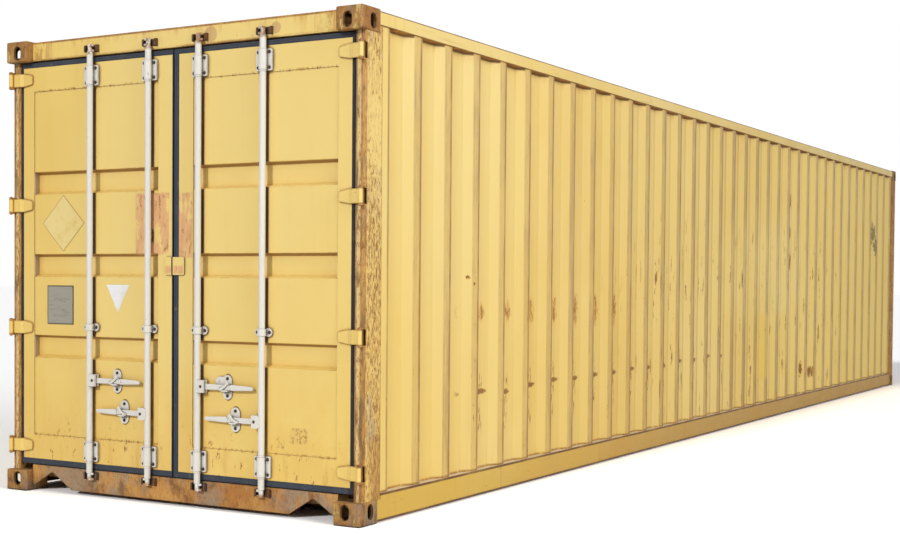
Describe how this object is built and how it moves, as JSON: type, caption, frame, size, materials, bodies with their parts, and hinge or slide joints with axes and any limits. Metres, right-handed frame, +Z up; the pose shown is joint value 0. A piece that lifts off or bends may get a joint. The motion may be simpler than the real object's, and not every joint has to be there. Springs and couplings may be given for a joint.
{
  "type": "40 ft dry freight container",
  "caption": "Corrugated steel freight container with a hollow cargo space, a pair of swinging end doors, turning lock rods with lift handles, and corner castings.",
  "frame": {"origin": "on the ground under the middle of the box", "axes": "+Z up; +Y along the box away from the doors; +X across the box, to the right as seen facing the doors"},
  "size_m": [2.438, 12.192, 2.591],
  "materials": {
    "yellow_paint": "weathered satin paint, rust at edges",
    "corner_casting": "worn paint over rusted cast steel",
    "galvanised_gear": "galvanised steel, dull and stained",
    "seal_rubber": "matt rubber",
    "plywood": "worn plywood"
  },
  "bodies": {
    "box": {"bottom_door_castings": "corner_casting", "bottom_front_castings": "corner_casting", "top_door_castings": "corner_casting", "top_front_castings": "corner_casting", "left_door_post": "yellow_paint", "right_door_post": "yellow_paint", "left_front_post": "yellow_paint", "right_front_post": "yellow_paint", "door_header": "yellow_paint", "door_sill": "yellow_paint", "front_header": "yellow_paint", "front_sill": "yellow_paint", "left_top_rail": "yellow_paint", "right_top_rail": "yellow_paint", "left_bottom_rail": "yellow_paint", "right_bottom_rail": "yellow_paint", "left_side_wall": "yellow_paint", "right_side_wall": "yellow_paint", "front_wall": "yellow_paint", "roof": "yellow_paint", "floor": "plywood", "cross_members": "yellow_paint", "top_keepers": "galvanised_gear", "bottom_keepers": "galvanised_gear"},
    "left_door": {"left_door_frame": "yellow_paint", "left_door_panel": "yellow_paint", "left_door_gasket": "seal_rubber", "left_hinge_blades": "yellow_paint", "left_rod_brackets": "galvanised_gear", "left_handle_catches": "galvanised_gear", "left_lock_plate": "yellow_paint"},
    "right_door": {"right_door_frame": "yellow_paint", "right_door_panel": "yellow_paint", "right_door_gasket": "seal_rubber", "right_hinge_blades": "yellow_paint", "right_rod_brackets": "galvanised_gear", "right_handle_catches": "galvanised_gear", "right_lock_plate": "yellow_paint"},
    "left_outer_rod": {"left_outer_rod": "galvanised_gear"},
    "left_outer_handle": {"left_outer_handle": "galvanised_gear"},
    "left_inner_rod": {"left_inner_rod": "galvanised_gear"},
    "left_inner_handle": {"left_inner_handle": "galvanised_gear"},
    "right_inner_rod": {"right_inner_rod": "galvanised_gear"},
    "right_inner_handle": {"right_inner_handle": "galvanised_gear"},
    "right_outer_rod": {"right_outer_rod": "galvanised_gear"},
    "right_outer_handle": {"right_outer_handle": "galvanised_gear"}
  },
  "joints": [
    {"name": "left_door_hinge", "type": "hinge", "parent": "box", "child": "left_door", "pos_m": [-1.199, -6.076, 1.295], "axis": [0, 0, -1], "range_deg": [0, 262]},
    {"name": "right_door_hinge", "type": "hinge", "parent": "box", "child": "right_door", "pos_m": [1.199, -6.076, 1.295], "axis": [0, 0, 1], "range_deg": [0, 262]},
    {"name": "left_outer_rod_turn", "type": "hinge", "parent": "left_door", "child": "left_outer_rod", "pos_m": [-0.596, -6.069, 1.309], "axis": [0, 0, 1], "range_deg": [-100, 0]},
    {"name": "left_inner_rod_turn", "type": "hinge", "parent": "left_door", "child": "left_inner_rod", "pos_m": [-0.173, -6.069, 1.309], "axis": [0, 0, -1], "range_deg": [-100, 0]},
    {"name": "right_inner_rod_turn", "type": "hinge", "parent": "right_door", "child": "right_inner_rod", "pos_m": [0.173, -6.069, 1.309], "axis": [0, 0, 1], "range_deg": [-100, 0]},
    {"name": "right_outer_rod_turn", "type": "hinge", "parent": "right_door", "child": "right_outer_rod", "pos_m": [0.596, -6.069, 1.309], "axis": [0, 0, -1], "range_deg": [-100, 0]},
    {"name": "left_outer_handle_lift", "type": "hinge", "parent": "left_outer_rod", "child": "left_outer_handle", "pos_m": [-0.56, -6.069, 0.66], "axis": [0, 1, 0], "range_deg": [-18, 0]},
    {"name": "left_inner_handle_lift", "type": "hinge", "parent": "left_inner_rod", "child": "left_inner_handle", "pos_m": [-0.209, -6.069, 0.491], "axis": [0, -1, 0], "range_deg": [-18, 0]},
    {"name": "right_inner_handle_lift", "type": "hinge", "parent": "right_inner_rod", "child": "right_inner_handle", "pos_m": [0.209, -6.069, 0.66], "axis": [0, 1, 0], "range_deg": [-18, 0]},
    {"name": "right_outer_handle_lift", "type": "hinge", "parent": "right_outer_rod", "child": "right_outer_handle", "pos_m": [0.56, -6.069, 0.491], "axis": [0, -1, 0], "range_deg": [-18, 0]}
  ]
}
